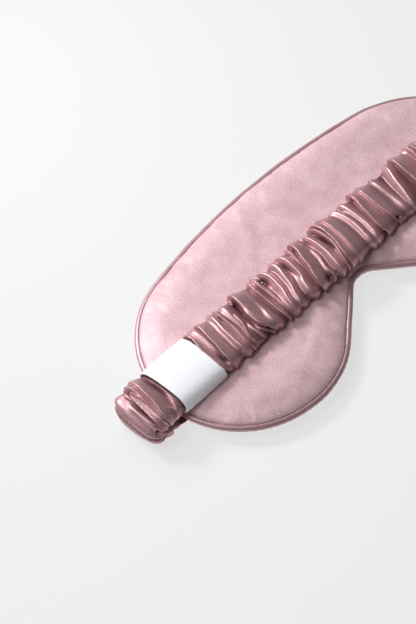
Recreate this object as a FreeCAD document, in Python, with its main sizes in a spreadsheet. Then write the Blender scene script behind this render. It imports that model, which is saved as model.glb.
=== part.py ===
"""Padded satin sleep mask with a gathered elastic strap.

The mask lies on its front, face side up, with the strap folded over it as it is stored.
+X runs along the mask, +Y towards the forehead edge, +Z up. The origin is under the centre, on the table.
"""
import FreeCAD, Part
import math
import os

import Sketcher

doc = FreeCAD.newDocument("sleep_mask")

# ---------------------------------------------------------------- driving dimensions, mm and degrees
SIZES = {
    # outline of the mask, to the outside of the piping
    "mask_length": 213.0,
    "mask_height": 100.6,
    "brow_radius": 326.0,
    "cheek_radius": 40.5,
    "cheek_turn": 62.0,
    "lobe_radius": 50.7,
    "bridge_slope": 40.0,
    "nose_radius": 9.7,
    # padding and panels
    "pad_thickness": 9.3,
    "satin_thickness": 0.4,
    "lining_thickness": 0.6,
    "seam_allowance": 5.5,
    "face_roll": 19.0,
    "front_roll": 8.0,
    # piping
    "piping_radius": 1.5,
    "piping_cord_radius": 0.9,
    # strap
    "strap_width": 25.0,
    "strap_thickness": 5.0,
    "strap_corner": 1.6,
    "strap_centre_y": -2.0,
    "strap_overhang": 18.0,
    "lifting_length": 100.0,
    "elastic_width": 21.0,
    "elastic_thickness": 1.1,
    "tail_wall": 0.15,
    "tail_corner": 0.6,
    "tail_depth": 7.0,
    "taper_length": 3.3,
    # label loop
    "label_length": 25.0,
    "label_setback": 18.1,
    "label_wall": 0.4,
    # thread
    "stitch_length": 2.4,
    "stitch_width": 0.35,
    "stitch_height": 0.25,
    "stitch_pitch": 3.6,
    # clearances
    "fit_gap": 0.05,
    "floor_gap": 0.4,
    "strap_gap": 1.0,
}

sheet = doc.addObject("Spreadsheet::Sheet", "Sizes")
for row, (alias, value) in enumerate(SIZES.items(), start=1):
    sheet.set(f"A{row}", alias)
    sheet.set(f"B{row}", str(value))
    sheet.setAlias(f"B{row}", alias)
doc.recompute()


def size(expression):
    """The value in millimetres or degrees of an expression on the sheet, such as "Sizes.strap_width / 2"."""
    found = sheet.evalExpression(expression)
    return float(getattr(found, "Value", found))


# Places and sizes that follow from the driving ones, as expressions.
SEAM_Y_TOP = "Sizes.mask_height / 2"
LOBE_CENTRE_Y = "Sizes.mask_height / 2 - Sizes.lobe_radius"
HALF_LENGTH = "Sizes.mask_length / 2"
SEAM_GAP = "Sizes.lining_thickness / 2"
PANEL_INSET = "Sizes.piping_radius * 2 + Sizes.fit_gap"
LINING_INSET = "2 * Sizes.piping_radius + Sizes.seam_allowance + 10 * Sizes.fit_gap"
ELASTIC_SLOT = "2 * Sizes.fit_gap"
TAIL_THICKNESS = f"(Sizes.elastic_thickness + {ELASTIC_SLOT} + 2 * Sizes.tail_wall)"
LOW_RUN_Z = "(Sizes.floor_gap + Sizes.strap_thickness / 2)"
SEAM_Z = f"({LOW_RUN_Z} + {TAIL_THICKNESS} / 2 + Sizes.fit_gap + Sizes.piping_radius)"
HIGH_RUN_Z = "(Sizes.pad_thickness + Sizes.strap_gap + Sizes.strap_thickness / 2)"
FOLD_RADIUS = f"(({HIGH_RUN_Z} - {LOW_RUN_Z}) / 2)"
STRAP_REACH = f"({HALF_LENGTH} + Sizes.strap_overhang)"
MIDDLE_END_X = "(Sizes.lifting_length / 2)"
FOLD_X = f"({STRAP_REACH} - {FOLD_RADIUS} - Sizes.strap_thickness / 2)"
TAIL_START_X = "(Sizes.mask_length / 2 + 4 * Sizes.fit_gap)"
TAPER_START_X = f"({TAIL_START_X} + Sizes.taper_length)"
TAIL_END_X = "(Sizes.mask_length / 2 - Sizes.piping_radius - Sizes.tail_depth)"
LABEL_START_X = f"(Sizes.label_setback - {STRAP_REACH})"


def plane(body, role):
    """One of a body's own origin planes, such as XY_Plane."""
    return next(f for f in body.Origin.OriginFeatures if f.Role == role)


def new_body(name):
    return doc.addObject("PartDesign::Body", name)


def new_sketch(body, name, role, offset="0"):
    """A sketch on an origin plane, moved along the plane's normal by an expression."""
    sketch = body.newObject("Sketcher::SketchObject", name)
    sketch.AttachmentSupport = (plane(body, role), "")
    sketch.MapMode = "FlatFace"
    sketch.setExpression("AttachmentOffset.Base.z", f"{offset} * 1mm" if offset != "0" else "0mm")
    return sketch


def tie(sketch, kind, name, expression, *places):
    """A named sketch dimension that follows an expression on the sheet."""
    start = math.radians(size(expression)) if kind == "Angle" else size(expression)
    number = sketch.addConstraint(Sketcher.Constraint(kind, *places, start))
    sketch.renameConstraint(number, name)
    unit = "1deg" if kind == "Angle" else "1mm"
    sketch.setExpression(f"Constraints.{name}", f"({expression}) * {unit}")


# ---------------------------------------------------------------- the mask's outline
def outline_arcs(inset):
    """Centres, radii and angles of the left half's arcs, drawn inside the outer edge by inset."""
    brow, cheek = size("Sizes.brow_radius"), size("Sizes.cheek_radius")
    lobe, nose = size("Sizes.lobe_radius"), size("Sizes.nose_radius")
    cheek_turn, slope = math.radians(size("Sizes.cheek_turn")), math.radians(size("Sizes.bridge_slope"))
    half, top = size(HALF_LENGTH), size(SEAM_Y_TOP)
    centre_lobe_y = -size(LOBE_CENTRE_Y)
    centre_cheek = (cheek - half, centre_lobe_y + (cheek - lobe) * math.sin(cheek_turn))
    centre_lobe = (centre_cheek[0] + (lobe - cheek) * math.cos(cheek_turn), centre_lobe_y)
    centre_brow = (0.0, top - brow)
    rise, spare = centre_cheek[1] - centre_brow[1], brow - half
    temple = brow - (rise**2 + spare**2) / (2 * spare)
    brow_turn = math.atan2(half - temple, rise)
    centre_temple = (temple - half, centre_cheek[1])
    quarter = math.pi / 2
    arcs = [
        (centre_brow, brow - inset, quarter, quarter + brow_turn),
        (centre_temple, temple - inset, quarter + brow_turn, 2 * quarter),
        (centre_cheek, cheek - inset, 2 * quarter, 2 * quarter + cheek_turn),
        (centre_lobe, lobe - inset, 2 * quarter + cheek_turn, 3 * quarter + slope),
    ]
    lobe_end = (
        centre_lobe[0] + (lobe - inset) * math.sin(slope),
        centre_lobe[1] - (lobe - inset) * math.cos(slope),
    )
    nose_inset = nose + inset
    run = (-lobe_end[0] - nose_inset * math.sin(slope)) / math.cos(slope)
    nose_end = (lobe_end[0] + run * math.cos(slope), lobe_end[1] + run * math.sin(slope))
    centre_nose = (0.0, nose_end[1] - nose_inset * math.cos(slope))
    arcs.append((centre_nose, nose_inset, quarter, quarter + slope))
    return arcs, lobe_end, nose_end


def half_outline(body, name, inset, height, closed=True):
    """Sketch of the mask's left half at a height, inside its edge by inset: tangent arcs and one line."""
    sketch = new_sketch(body, name, "XY_Plane", height)
    arcs, lobe_end, nose_end = outline_arcs(size(inset))
    axis = FreeCAD.Vector(0, 0, 1)
    for (cx, cy), radius, first, last in arcs[:4]:
        circle = Part.Circle(FreeCAD.Vector(cx, cy, 0), axis, radius)
        sketch.addGeometry(Part.ArcOfCircle(circle, first, last))
    sketch.addGeometry(Part.LineSegment(FreeCAD.Vector(*lobe_end, 0), FreeCAD.Vector(*nose_end, 0)))
    (cx, cy), radius, first, last = arcs[4]
    sketch.addGeometry(Part.ArcOfCircle(Part.Circle(FreeCAD.Vector(cx, cy, 0), axis, radius), first, last))
    joined = [(0, 2, 1, 1), (1, 2, 2, 1), (2, 2, 3, 1), (3, 2, 4, 1), (4, 2, 5, 2)]
    for pair in joined:
        sketch.addConstraint(Sketcher.Constraint("Tangent", *pair))
    if closed:
        top = FreeCAD.Vector(0, size(SEAM_Y_TOP) - size(inset), 0)
        apex = FreeCAD.Vector(0, cy + radius, 0)
        sketch.addGeometry(Part.LineSegment(apex, top))
        sketch.addConstraint(Sketcher.Constraint("Coincident", 5, 1, 6, 1))
        sketch.addConstraint(Sketcher.Constraint("Coincident", 6, 2, 0, 1))
    for place in ((0, 3), (0, 1), (5, 3), (5, 1)):
        sketch.addConstraint(Sketcher.Constraint("PointOnObject", *place, -2))
    sketch.addConstraint(Sketcher.Constraint("Horizontal", 1, 3, 1, 2))
    tie(sketch, "Radius", "brow", f"Sizes.brow_radius - ({inset})", 0)
    tie(sketch, "Radius", "cheek", f"Sizes.cheek_radius - ({inset})", 2)
    tie(sketch, "Radius", "lobe", f"Sizes.lobe_radius - ({inset})", 3)
    tie(sketch, "Radius", "nose", f"Sizes.nose_radius + ({inset})", 5)
    tie(sketch, "Angle", "cheek_turn", "Sizes.cheek_turn", 2)
    tie(sketch, "Angle", "slope", "Sizes.bridge_slope", 4)
    tie(sketch, "DistanceX", "half_length", f"{HALF_LENGTH} - ({inset})", 1, 2, -1, 1)
    tie(sketch, "DistanceY", "half_height", f"{SEAM_Y_TOP} - ({inset})", -1, 1, 0, 1)
    tie(sketch, "DistanceY", "lobe_centre", LOBE_CENTRE_Y, 3, 3, -1, 1)
    return sketch


def whole(half, label):
    """A half and its mirror image across the YZ plane, as one solid."""
    other = doc.addObject("Part::Mirroring", f"{label}_mirrored")
    other.Source = half
    other.Normal = (1, 0, 0)
    both = doc.addObject("Part::Fuse", label)
    both.Base = half
    both.Tool = other
    both.Label = label
    return both


def slot_for_tail(half, name):
    """Cuts the slit in a panel or wadding half that the sewn-in end of the strap lies in."""
    slit = doc.addObject("Part::Box", f"{name}_slit")
    low = f"{LOW_RUN_Z} - {TAIL_THICKNESS} / 2 - Sizes.fit_gap"
    width = "(Sizes.strap_width + 2 * Sizes.fit_gap)"
    slit.setExpression("Length", f"({HALF_LENGTH} - {TAIL_END_X} + Sizes.fit_gap) * 1mm")
    slit.setExpression("Width", f"{width} * 1mm")
    slit.setExpression("Height", f"({TAIL_THICKNESS} + Sizes.stitch_height + 3 * Sizes.fit_gap) * 1mm")
    slit.setExpression("Placement.Base.x", f"-({HALF_LENGTH}) * 1mm")
    slit.setExpression("Placement.Base.y", f"(Sizes.strap_centre_y - {width} / 2) * 1mm")
    slit.setExpression("Placement.Base.z", f"({low}) * 1mm")
    cut = doc.addObject("Part::Cut", f"{name}_slotted")
    cut.Base = half
    cut.Tool = slit
    return cut


# ---------------------------------------------------------------- padding: panels, waddings, lining
DOME_STEPS = 4


def dome_sections(side, skin):
    """(inset, height) expressions of a dome's outlines, from the seam to the crown, along a quarter ellipse.

    side is +1 for the face side, -1 for the front; skin is "0" outside a panel and its thickness inside."""
    roll = "Sizes.face_roll" if side > 0 else "Sizes.front_roll"
    crown = f"(Sizes.pad_thickness - {skin})" if side > 0 else skin
    base = f"({SEAM_Z} + {side} * {SEAM_GAP})"
    sections = []
    for step in range(DOME_STEPS + 1):
        angle = f"({step} * 90deg / {DOME_STEPS})"
        inset = f"{PANEL_INSET} + {skin} + ({roll} - {skin}) * (1 - cos({angle}))"
        sections.append((inset, f"({base} + ({crown} - {base}) * sin({angle}))"))
    return sections


def loft(body, kind, name, sections):
    """A loft through half outlines, adding to or cutting from the body."""
    sketches = [
        half_outline(body, f"{name}_outline_{number}", inset, height)
        for number, (inset, height) in enumerate(sections)
    ]
    feature = body.newObject(kind, name)
    feature.Profile = sketches[0]
    feature.Sections = sketches[1:]
    feature.Ruled = True
    return feature


def panel(label, side, slotted):
    """A satin shell with the padding's outer shape."""
    body = new_body(f"{label}_half")
    loft(body, "PartDesign::AdditiveLoft", f"{label}_outside", dome_sections(side, "0"))
    loft(body, "PartDesign::SubtractiveLoft", f"{label}_inside", dome_sections(side, "Sizes.satin_thickness"))
    return whole(slot_for_tail(body, label) if slotted else body, label)


def wadding(label, side, slotted):
    """The filling that lies inside a panel, against its skin."""
    body = new_body(f"{label}_half")
    skin = "(Sizes.satin_thickness + Sizes.fit_gap)"
    loft(body, "PartDesign::AdditiveLoft", f"{label}_filling", dome_sections(side, skin))
    return whole(slot_for_tail(body, label) if slotted else body, label)


def lining():
    """The flat light-blocking sheet between the two waddings."""
    body = new_body("blackout_lining_half")
    base = f"({SEAM_Z} - {SEAM_GAP} + Sizes.fit_gap)"
    outline = half_outline(body, "lining_outline", LINING_INSET, base)
    pad = body.newObject("PartDesign::Pad", "lining_sheet")
    pad.Profile = outline
    pad.setExpression("Length", "(Sizes.lining_thickness - 2 * Sizes.fit_gap) * 1mm")
    return whole(body, "blackout_lining")


# ---------------------------------------------------------------- piping
def piping_section(body, name):
    """Sketch of the piping's cut end at the middle of the forehead edge, with nothing in it yet."""
    return new_sketch(body, name, "YZ_Plane")


def piping_cord():
    body = new_body("piping_cord_half")
    spine = half_outline(body, "cord_route", "Sizes.piping_radius", SEAM_Z, closed=False)
    section = piping_section(body, "cord_section")
    centre = (size(SEAM_Y_TOP) - size("Sizes.piping_radius"), size(SEAM_Z))
    radius = "Sizes.piping_cord_radius - Sizes.fit_gap"
    section.addGeometry(Part.Circle(FreeCAD.Vector(*centre, 0), FreeCAD.Vector(0, 0, 1), size(radius)))
    tie(section, "Radius", "radius", radius, 0)
    tie(section, "DistanceX", "across", f"{SEAM_Y_TOP} - Sizes.piping_radius", -1, 1, 0, 3)
    tie(section, "DistanceY", "up", SEAM_Z, -1, 1, 0, 3)
    sweep(body, "cord_sweep", section, spine)
    return whole(body, "piping_cord")


def sweep(body, name, section, spine):
    pipe = body.newObject("PartDesign::AdditivePipe", name)
    pipe.Profile = section
    pipe.Spine = (spine, [])
    return pipe


def piping_cover():
    """The bias strip: a tube round the cord with its two edges laid together as a seam allowance."""
    body = new_body("piping_cover_half")
    spine = half_outline(body, "cover_route", "Sizes.piping_radius", SEAM_Z, closed=False)
    section = piping_section(body, "cover_section")
    centre_y = size(SEAM_Y_TOP) - size("Sizes.piping_radius")
    centre_z, radius = size(SEAM_Z), size("Sizes.piping_radius")
    half = size(SEAM_GAP) - size("Sizes.fit_gap")
    half_tail = f"({SEAM_GAP} - Sizes.fit_gap)"
    reach = math.sqrt(radius**2 - half**2)
    end = centre_y - radius - size("Sizes.seam_allowance")
    angle = math.pi - math.asin(half / radius)
    axis, centre = FreeCAD.Vector(0, 0, 1), FreeCAD.Vector(centre_y, centre_z, 0)
    corners = [
        FreeCAD.Vector(centre_y - reach, centre_z + half, 0),
        FreeCAD.Vector(end, centre_z + half, 0),
        FreeCAD.Vector(end, centre_z - half, 0),
        FreeCAD.Vector(centre_y - reach, centre_z - half, 0),
    ]
    section.addGeometry(Part.ArcOfCircle(Part.Circle(centre, axis, radius), -angle, angle))
    for first, second in zip(corners, corners[1:]):
        section.addGeometry(Part.LineSegment(first, second))
    section.addGeometry(Part.Circle(centre, axis, size("Sizes.piping_cord_radius")))
    for pair in ((0, 2, 1, 1), (1, 2, 2, 1), (2, 2, 3, 1), (3, 2, 0, 1), (0, 3, 4, 3)):
        section.addConstraint(Sketcher.Constraint("Coincident", *pair))
    section.addConstraint(Sketcher.Constraint("Horizontal", 1))
    section.addConstraint(Sketcher.Constraint("Horizontal", 3))
    section.addConstraint(Sketcher.Constraint("Vertical", 2))
    tie(section, "Radius", "outside", "Sizes.piping_radius", 0)
    tie(section, "Radius", "inside", "Sizes.piping_cord_radius", 4)
    tie(section, "DistanceX", "across", f"{SEAM_Y_TOP} - Sizes.piping_radius", -1, 1, 0, 3)
    tie(section, "DistanceY", "up", SEAM_Z, -1, 1, 0, 3)
    tie(section, "DistanceY", "tail_top", half_tail, 0, 3, 1, 1)
    tie(section, "DistanceY", "tail_bottom", half_tail, 3, 2, 0, 3)
    tie(section, "DistanceX", "tail", "Sizes.piping_radius + Sizes.seam_allowance", 1, 2, 0, 3)
    sweep(body, "cover_sweep", section, spine)
    return whole(body, "piping_cover")


# ---------------------------------------------------------------- strap
def rounded_box(sketch, first, name, width, height, corner, level):
    """Adds a rounded rectangle to a YZ sketch, centred on the strap's line; first is its first curve."""
    half_w, half_h, radius = size(width) / 2, size(height) / 2, size(corner)
    middle = FreeCAD.Vector(size("Sizes.strap_centre_y"), size(level), 0)
    axis, quarter = FreeCAD.Vector(0, 0, 1), math.pi / 2
    inner_w, inner_h = half_w - radius, half_h - radius
    signs = [(1, 1), (-1, 1), (-1, -1), (1, -1)]
    for number, (side, up) in enumerate(signs):
        centre = middle + FreeCAD.Vector(side * inner_w, up * inner_h, 0)
        circle = Part.Circle(centre, axis, radius)
        sketch.addGeometry(Part.ArcOfCircle(circle, number * quarter, (number + 1) * quarter))
    for number in range(4):
        start = sketch.Geometry[first + number].EndPoint
        finish = sketch.Geometry[first + (number + 1) % 4].StartPoint
        sketch.addGeometry(Part.LineSegment(start, finish))
    for number in range(4):
        line = first + 4 + number
        following = first + (number + 1) % 4
        sketch.addConstraint(Sketcher.Constraint("Tangent", first + number, 2, line, 1))
        sketch.addConstraint(Sketcher.Constraint("Tangent", line, 2, following, 1))
    sketch.addConstraint(Sketcher.Constraint("Horizontal", first + 4))
    sketch.addConstraint(Sketcher.Constraint("Vertical", first + 5))
    for number in range(3):
        sketch.addConstraint(Sketcher.Constraint("Equal", first + number, first + number + 1))
    tie(sketch, "Radius", f"{name}_corner", corner, first)
    tie(sketch, "DistanceX", f"{name}_width", f"{width} - 2 * ({corner})", first + 1, 3, first, 3)
    tie(sketch, "DistanceY", f"{name}_height", f"{height} - 2 * ({corner})", first + 3, 3, first, 3)
    side = f"Sizes.strap_centre_y + ({width}) / 2 - ({corner})"
    tie(sketch, "DistanceX", f"{name}_side", side, -1, 1, first, 3)
    tie(sketch, "DistanceY", f"{name}_level", f"{level} + ({height}) / 2 - ({corner})", -1, 1, first, 3)


COVER = ("Sizes.strap_width", "Sizes.strap_thickness", "Sizes.strap_corner")
TAIL = ("Sizes.strap_width", TAIL_THICKNESS, "Sizes.tail_corner")
ELASTIC = ("Sizes.elastic_width", "Sizes.elastic_thickness", "Sizes.elastic_thickness / 4")
CHANNEL = (
    f"(Sizes.elastic_width + {ELASTIC_SLOT})",
    f"(Sizes.elastic_thickness + {ELASTIC_SLOT})",
    "Sizes.elastic_thickness / 4",
)


def strap_section(body, name, x_place, level, *boxes):
    """A sketch across the strap at x_place, holding one rounded rectangle inside another."""
    sketch = new_sketch(body, name, "YZ_Plane", x_place)
    for number, box in enumerate(boxes):
        rounded_box(sketch, 8 * number, f"{name}_{number}", *box, level)
    return sketch


def strap_run(label, *boxes):
    """The middle length of the strap's cover or elastic, which lifts off the mask in one piece."""
    body = new_body(label)
    body.Label = label
    section = strap_section(body, f"{label}_section", "0", HIGH_RUN_Z, *boxes)
    pad = body.newObject("PartDesign::Pad", f"{label}_run")
    pad.Profile = section
    pad.SideType = "Symmetric"
    pad.setExpression("Length", f"2 * {MIDDLE_END_X} * 1mm")
    return body


def fold_route(body, name, end_x):
    """The strap's centre line at its left end: over the mask, round the fold and back to end_x underneath."""
    sketch = new_sketch(body, name, "XZ_Plane", "-Sizes.strap_centre_y")
    start, fold = -size(MIDDLE_END_X), -size(FOLD_X)
    low, high = size(LOW_RUN_Z), size(HIGH_RUN_Z)
    middle = FreeCAD.Vector(fold, (low + high) / 2, 0)
    circle = Part.Circle(middle, FreeCAD.Vector(0, 0, 1), (high - low) / 2)
    sketch.addGeometry(Part.LineSegment(FreeCAD.Vector(start, high, 0), FreeCAD.Vector(fold, high, 0)))
    sketch.addGeometry(Part.ArcOfCircle(circle, math.pi / 2, 3 * math.pi / 2))
    sketch.addGeometry(Part.LineSegment(FreeCAD.Vector(fold, low, 0), FreeCAD.Vector(-size(end_x), low, 0)))
    sketch.addConstraint(Sketcher.Constraint("Tangent", 0, 2, 1, 1))
    sketch.addConstraint(Sketcher.Constraint("Tangent", 1, 2, 2, 1))
    sketch.addConstraint(Sketcher.Constraint("Horizontal", 0))
    sketch.addConstraint(Sketcher.Constraint("Horizontal", 2))
    tie(sketch, "DistanceX", "start", MIDDLE_END_X, 0, 1, -1, 1)
    tie(sketch, "DistanceX", "fold", FOLD_X, 0, 2, -1, 1)
    tie(sketch, "DistanceX", "finish", end_x, 2, 2, -1, 1)
    tie(sketch, "DistanceY", "high", HIGH_RUN_Z, -1, 1, 0, 1)
    tie(sketch, "DistanceY", "low", LOW_RUN_Z, -1, 1, 2, 2)
    return sketch


def end_elastic():
    """The elastic in the left end of the strap, from the lifting length round the fold to its sewn-in end."""
    body = new_body("left_strap_end_elastic")
    route = fold_route(body, "elastic_route", TAIL_END_X)
    section = strap_section(body, "elastic_section", f"-{MIDDLE_END_X}", HIGH_RUN_Z, ELASTIC)
    sweep(body, "elastic_fold", section, route)
    return body


def end_cover():
    """The cover of the left end: full thickness round the fold, then pressed flat where it is sewn in."""
    body = new_body("left_strap_end_cover")
    route = fold_route(body, "cover_fold_route", TAPER_START_X)
    section = strap_section(body, "cover_fold_section", f"-{MIDDLE_END_X}", HIGH_RUN_Z, COVER, CHANNEL)
    sweep(body, "cover_fold", section, route)
    thick = strap_section(body, "taper_thick", f"-{TAPER_START_X}", LOW_RUN_Z, COVER)
    thin = strap_section(body, "taper_thin", f"-{TAIL_START_X}", LOW_RUN_Z, TAIL)
    taper = body.newObject("PartDesign::AdditiveLoft", "taper")
    taper.Profile = thick
    taper.Sections = [thin]
    flat = strap_section(body, "tail_section", f"-{TAIL_START_X}", LOW_RUN_Z, TAIL)
    tail = body.newObject("PartDesign::Pad", "tail")
    tail.Profile = flat
    tail.setExpression("Length", f"({TAIL_START_X} - {TAIL_END_X}) * 1mm")
    bore = strap_section(body, "channel_section", f"-{TAIL_END_X}", LOW_RUN_Z, CHANNEL)
    channel = body.newObject("PartDesign::Pocket", "channel")
    channel.Profile = bore
    channel.setExpression("Length", f"({TAPER_START_X} - {TAIL_END_X}) * 1mm")
    return body


def mirrored(source, label):
    other = doc.addObject("Part::Mirroring", label)
    other.Source = source
    other.Normal = (1, 0, 0)
    other.Label = label
    return other


# ---------------------------------------------------------------- label loop and stitches
def label_loop():
    body = new_body("label_loop")
    gap, wall = "2 * Sizes.fit_gap", "2 * Sizes.label_wall"
    inner = (
        f"(Sizes.strap_width + {gap})",
        f"(Sizes.strap_thickness + {gap})",
        "(Sizes.strap_corner + Sizes.fit_gap)",
    )
    outer = (
        f"(Sizes.strap_width + {gap} + {wall})",
        f"(Sizes.strap_thickness + {gap} + {wall})",
        "(Sizes.strap_corner + Sizes.fit_gap + Sizes.label_wall)",
    )
    section = strap_section(body, "label_section", LABEL_START_X, HIGH_RUN_Z, outer, inner)
    pad = body.newObject("PartDesign::Pad", "label_band")
    pad.Profile = section
    pad.setExpression("Length", "Sizes.label_length * 1mm")
    return body


def stitch_row(label, count, along, x_place, y_place, z_place):
    """A row of stitches as separate solids, centred on x_place, y_place, with z_place at their underside."""
    stitches = []
    long_side, short_side = ("Length", "Width") if along == "x" else ("Width", "Length")
    for number in range(count):
        stitch = doc.addObject("Part::Box", f"{label}_{number}")
        stitch.setExpression(long_side, "Sizes.stitch_length * 1mm")
        stitch.setExpression(short_side, "Sizes.stitch_width * 1mm")
        stitch.setExpression("Height", "Sizes.stitch_height * 1mm")
        step = f"({number - (count - 1) / 2}) * Sizes.stitch_pitch - Sizes.stitch_length / 2"
        side = "-Sizes.stitch_width / 2"
        x_step, y_step = (step, side) if along == "x" else (side, step)
        stitch.setExpression("Placement.Base.x", f"({x_place} + {x_step}) * 1mm")
        stitch.setExpression("Placement.Base.y", f"({y_place} + {y_step}) * 1mm")
        stitch.setExpression("Placement.Base.z", f"({z_place}) * 1mm")
        stitches.append(stitch)
    row = doc.addObject("Part::Compound", label)
    row.Links = stitches
    row.Label = label
    return row


TACK_X = f"-({TAIL_END_X} + Sizes.tail_depth / 3)"
TACK_Z = f"{LOW_RUN_Z} + {TAIL_THICKNESS} / 2"
LABEL_STITCH_X = f"{LABEL_START_X} + Sizes.label_length / 2"
LABEL_UNDERSIDE = f"{HIGH_RUN_Z} - Sizes.strap_thickness / 2 - Sizes.fit_gap - Sizes.label_wall"
TACK_STITCHES = 6
LABEL_STITCHES = 6

left_cover = end_cover()
left_elastic = end_elastic()
left_tack = stitch_row("left_tack_stitches", TACK_STITCHES, "y", TACK_X, "Sizes.strap_centre_y", TACK_Z)
label_stitch_z = f"{LABEL_UNDERSIDE} - Sizes.stitch_height"

subparts = [
    panel("face_panel", +1, slotted=False),
    panel("front_panel", -1, slotted=True),
    wadding("face_wadding", +1, slotted=False),
    wadding("front_wadding", -1, slotted=True),
    lining(),
    piping_cord(),
    piping_cover(),
    left_cover,
    left_elastic,
    left_tack,
    mirrored(left_cover, "right_strap_end_cover"),
    mirrored(left_elastic, "right_strap_end_elastic"),
    mirrored(left_tack, "right_tack_stitches"),
    strap_run("strap_cover", COVER, CHANNEL),
    strap_run("strap_elastic", ELASTIC),
    label_loop(),
    stitch_row(
        "label_stitches", LABEL_STITCHES, "x", LABEL_STITCH_X, "Sizes.strap_centre_y", label_stitch_z
    ),
]
doc.recompute()

# ---------------------------------------------------------------- checks and export
failed = [o.Label for o in doc.Objects if "Invalid" in o.State or "Error" in o.State]
if failed:
    raise RuntimeError(f"these objects failed: {failed}")
os.makedirs("parts", exist_ok=True)
for piece in subparts:
    shape = piece.Shape
    if shape.isNull() or not shape.isValid() or not shape.Solids:
        raise RuntimeError(f"{piece.Label} has no valid solid")
    print(f"{piece.Label}: {len(shape.Solids)} solid(s), {shape.Volume / 1000:.3f} cm3")
for piece in subparts:
    solids = piece.Shape.Solids
    shape = solids[0] if len(solids) == 1 else Part.makeCompound(solids)
    shape.exportStep(f"parts/{piece.Label}.step")
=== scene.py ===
# %% [markdown]
# # A padded satin sleep mask
# The mask lies face side up on a table with its gathered strap folded over it.
# Every piece below is built in the imported model's own frame, so no piece has to be moved into place.
# The design sizes are in millimetres, because a maker thinks of a mask that way, and MM turns them to metres.
# The places of the ruffles, the colours and the lights were judged.

# %% Load the imported model
import math
import bpy
import numpy as np
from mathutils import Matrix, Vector
from mathutils.geometry import delaunay_2d_cdt


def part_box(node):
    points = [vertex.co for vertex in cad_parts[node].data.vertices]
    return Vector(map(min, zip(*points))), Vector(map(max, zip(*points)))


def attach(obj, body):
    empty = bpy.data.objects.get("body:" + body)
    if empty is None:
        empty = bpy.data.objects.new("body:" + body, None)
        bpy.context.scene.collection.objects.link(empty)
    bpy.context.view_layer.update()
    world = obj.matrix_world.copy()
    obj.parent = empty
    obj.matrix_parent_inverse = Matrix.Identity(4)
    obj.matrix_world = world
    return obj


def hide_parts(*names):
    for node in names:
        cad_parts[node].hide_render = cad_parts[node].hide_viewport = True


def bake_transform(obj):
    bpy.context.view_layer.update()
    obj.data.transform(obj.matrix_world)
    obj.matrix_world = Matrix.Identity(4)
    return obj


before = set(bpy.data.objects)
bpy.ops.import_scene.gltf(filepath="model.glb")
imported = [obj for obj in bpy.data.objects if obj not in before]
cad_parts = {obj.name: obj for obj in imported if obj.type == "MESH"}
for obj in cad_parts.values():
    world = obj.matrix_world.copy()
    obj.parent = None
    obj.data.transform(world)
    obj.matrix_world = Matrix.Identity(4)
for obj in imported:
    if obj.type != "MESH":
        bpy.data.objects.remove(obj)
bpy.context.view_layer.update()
MM = 0.001

# %% [markdown]
# ## Sizes
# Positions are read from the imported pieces' boxes. A few sizes of the pattern, such as the radii of the
# outline, can't be read from a box, so they are written here as the pattern cutter would write them.

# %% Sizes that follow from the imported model
def box_mm(node):
    """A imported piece's lowest and highest corner, in millimetres."""
    low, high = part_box(node)
    return np.array(low) / MM, np.array(high) / MM


piping_low, piping_high = box_mm("piping_cover")
face_high = box_mm("face_panel")[1]
front_low = box_mm("front_panel")[0]
strap_low, strap_high = box_mm("strap_cover")
end_low = box_mm("left_strap_end_cover")[0]
label_low, label_high = box_mm("label_loop")
elastic_low, elastic_high = box_mm("strap_elastic")

HALF_LENGTH = piping_high[0]
HALF_HEIGHT = piping_high[1]
SEAM_Z = (piping_low[2] + piping_high[2]) / 2
PIPING_R = (piping_high[2] - piping_low[2]) / 2
STRAP_Y = (strap_low[1] + strap_high[1]) / 2
STRAP_Z = (strap_low[2] + strap_high[2]) / 2
ELASTIC_W = elastic_high[1] - elastic_low[1]
ELASTIC_T = elastic_high[2] - elastic_low[2]
LIFT_X = strap_high[0]
REACH_X = -end_low[0]
STRAP_T = strap_high[2] - strap_low[2]
LOW_Z = end_low[2] + STRAP_T / 2
FOLD_R = (STRAP_Z - LOW_Z) / 2
FOLD_X = REACH_X - FOLD_R - STRAP_T / 2
print("seam height", SEAM_Z, "strap centre", STRAP_Y, STRAP_Z, "fold radius", FOLD_R, "fold at", FOLD_X)

# %% [markdown]
# ## The outline
# A mask's outline is drawn with a few arcs that run smoothly into each other: brow, temple, cheek, lobe and
# the small arc over the nose, with one straight flank. Moving every radius by the same inset gives a line
# that stays the same distance inside the edge, so one function serves the piping, the seam and the padding.

# %% Outline of the mask
BROW_R, CHEEK_R, LOBE_R, NOSE_R = 326.0, 40.5, 50.7, 9.7
CHEEK_TURN, FLANK_SLOPE = math.radians(62.0), math.radians(40.0)


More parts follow.
